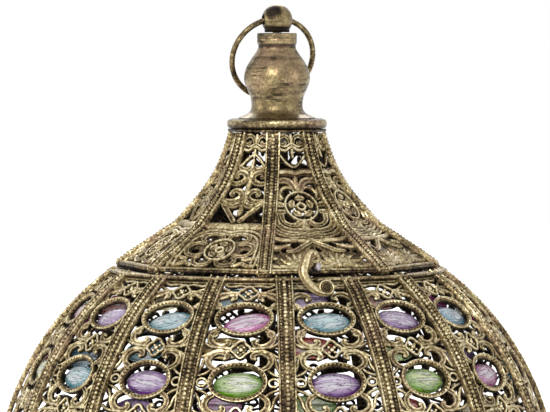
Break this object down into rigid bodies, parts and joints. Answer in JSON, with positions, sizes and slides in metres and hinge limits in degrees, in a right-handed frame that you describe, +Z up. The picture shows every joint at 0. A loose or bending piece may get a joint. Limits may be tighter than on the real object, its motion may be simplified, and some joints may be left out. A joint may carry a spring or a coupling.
{
  "type": "openwork table lantern",
  "caption": "Round pierced-metal table lantern with glass gems, a hinged octagonal pagoda lid, a hook latch and a finial with a carry ring.",
  "frame": {"origin": "on the table, under the middle of the foot", "axes": "+Z up, front with the latch along -Y, +X to the right seen from the front"},
  "size_m": [0.2462, 0.2462, 0.3094],
  "materials": {
    "brass": "antique, worn bright on edges",
    "dark_brass": "antique, dark in recesses",
    "steel": "plain zinc",
    "pad_rubber": "matt",
    "bush_black": "matt",
    "lampholder_white": "satin",
    "bulb_glass": "clear",
    "gem_aqua": "translucent",
    "gem_purple": "translucent",
    "gem_green": "translucent",
    "gem_pink": "translucent",
    "gem_amber": "translucent",
    "gem_red": "translucent"
  },
  "bodies": {
    "body": {"base_plate": "dark_brass", "foot": "brass", "cord_bush": "bush_black", "foot_pad_1": "pad_rubber", "foot_pad_2": "pad_rubber", "foot_pad_3": "pad_rubber", "lampholder_nipple": "steel", "nipple_nut": "steel", "lampholder_body": "lampholder_white", "lampholder_collar": "lampholder_white", "bulb_cap": "steel", "bulb_glass": "bulb_glass", "body_frame": "brass", "body_panel_01": "dark_brass", "body_panel_02": "dark_brass", "body_panel_03": "dark_brass", "body_panel_04": "dark_brass", "body_panel_05": "dark_brass", "body_panel_06": "dark_brass", "body_panel_07": "dark_brass", "body_panel_08": "dark_brass", "body_panel_09": "dark_brass", "body_panel_10": "dark_brass", "body_panel_11": "dark_brass", "body_panel_12": "dark_brass", "body_panel_13": "dark_brass", "body_panel_14": "dark_brass", "body_panel_15": "dark_brass", "body_panel_16": "dark_brass", "gem_row_1": "gem_aqua", "gem_row_2": "gem_purple", "gem_row_3": "gem_green", "gem_row_4": "gem_pink", "gem_row_5": "gem_amber", "gem_row_6": "gem_red", "latch_rivet": "dark_brass", "hinge_leaf_body": "dark_brass", "hinge_pin": "steel"},
    "lid": {"hinge_leaf_lid": "dark_brass", "roof_frame": "brass", "roof_panel_1": "dark_brass", "roof_panel_2": "dark_brass", "roof_panel_3": "dark_brass", "roof_panel_4": "dark_brass", "roof_panel_5": "dark_brass", "roof_panel_6": "dark_brass", "roof_panel_7": "dark_brass", "roof_panel_8": "dark_brass", "latch_stud": "brass", "cap_plate": "brass", "finial_flare": "brass", "finial_vase": "brass", "finial_collar": "brass", "finial_ball": "brass", "finial_stud": "steel", "stud_washer": "steel", "stud_nut": "steel"},
    "ring": {"carry_ring": "brass"},
    "hook": {"latch_hook": "brass"}
  },
  "joints": [
    {"name": "lid_hinge", "type": "hinge", "parent": "body", "child": "lid", "pos_m": [0, 0.06789, 0.19571], "axis": [-1, 0, 0], "range_deg": [0, 110]},
    {"name": "ring_swing", "type": "hinge", "parent": "lid", "child": "ring", "pos_m": [0, 0, 0.30261], "axis": [1, 0, 0], "range_deg": [0, 315]},
    {"name": "latch_turn", "type": "hinge", "parent": "body", "child": "hook", "pos_m": [-0.0038, -0.07802, 0.18971], "axis": [0, -0.9397, 0.342], "range_deg": [-22, 34]}
  ]
}
